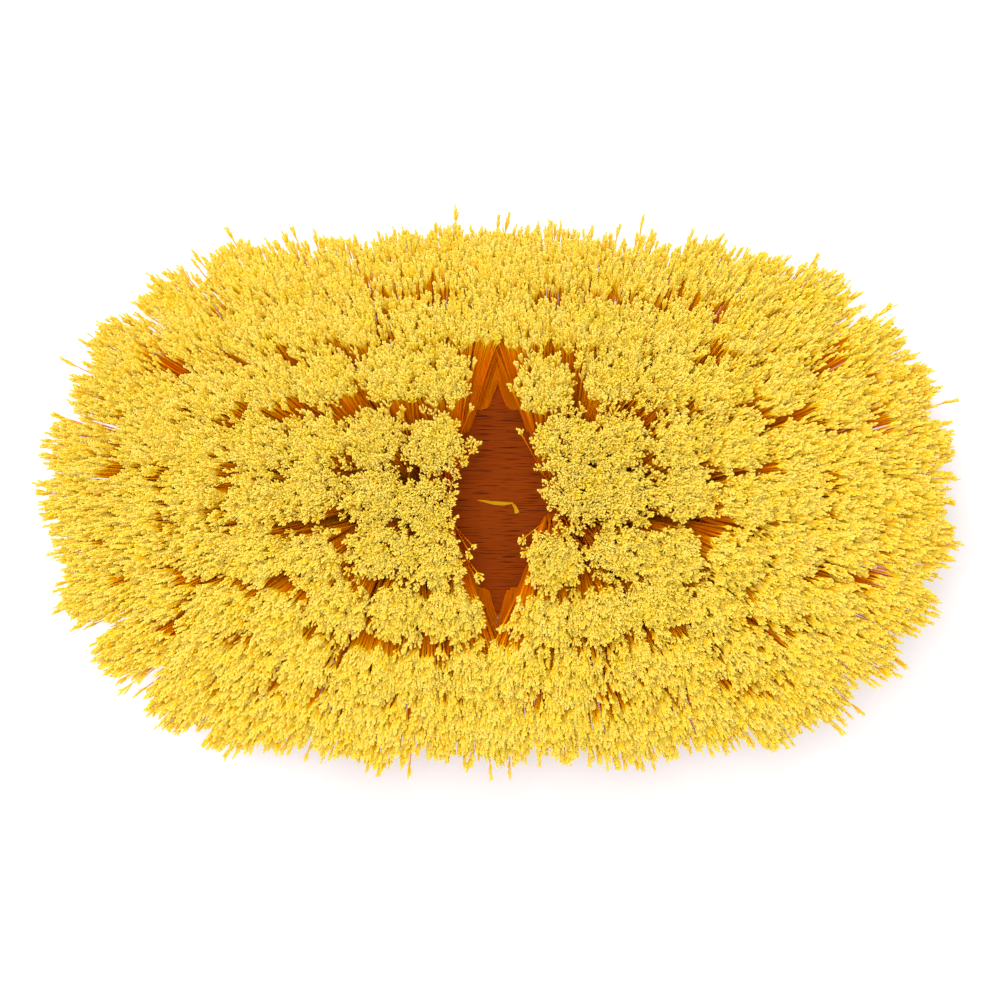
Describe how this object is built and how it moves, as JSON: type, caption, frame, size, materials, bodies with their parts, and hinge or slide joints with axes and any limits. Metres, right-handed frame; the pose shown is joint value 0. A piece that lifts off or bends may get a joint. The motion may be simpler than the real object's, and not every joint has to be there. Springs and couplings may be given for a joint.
{
  "type": "deck brush head",
  "caption": "Long hardwood brush block with round ends, flared split-tip bristle tufts, a bumper strip round its edge and a slanted threaded handle socket in its back.",
  "frame": {"origin": "middle of the block's flat back, on the surface that the brush lies on", "axes": "+X along the block, +Z the way the bristles point, +Y towards the top of the picture"},
  "size_m": [0.2764, 0.1718, 0.094],
  "materials": {
    "hardwood": "clear lacquered hardwood, grain along the block",
    "bristle": "yellow synthetic bristle with split tips",
    "vinyl": "light grey extruded vinyl, satin",
    "tack_steel": "zinc plated steel",
    "anchor_wire": "drawn flat steel wire"
  },
  "bodies": {
    "root": {"hardwood_block": "hardwood", "bumper_strip": "vinyl", "bumper_tack_1": "tack_steel", "bumper_tack_2": "tack_steel", "bumper_tack_3": "tack_steel", "bumper_tack_4": "tack_steel", "bumper_tack_5": "tack_steel", "bumper_tack_6": "tack_steel", "bumper_tack_7": "tack_steel", "bumper_tack_8": "tack_steel", "anchors_row_1_left": "anchor_wire", "anchors_row_1_right": "anchor_wire", "anchors_row_2_left": "anchor_wire", "anchors_row_2_right": "anchor_wire", "anchors_row_3_left": "anchor_wire", "anchors_row_3_right": "anchor_wire", "anchors_row_4_left": "anchor_wire", "anchors_row_4_right": "anchor_wire", "anchors_row_5_left": "anchor_wire", "anchors_row_5_right": "anchor_wire", "anchors_row_6_left": "anchor_wire", "anchors_row_6_right": "anchor_wire", "anchors_row_7_left": "anchor_wire", "anchors_row_7_right": "anchor_wire", "anchors_row_8_left": "anchor_wire", "anchors_row_8_right": "anchor_wire", "anchors_row_9_left": "anchor_wire", "anchors_row_9_right": "anchor_wire", "bristles_back_outer": "bristle", "bristles_back_inner": "bristle", "bristles_front_inner": "bristle", "bristles_front_outer": "bristle"}
  },
  "joints": []
}
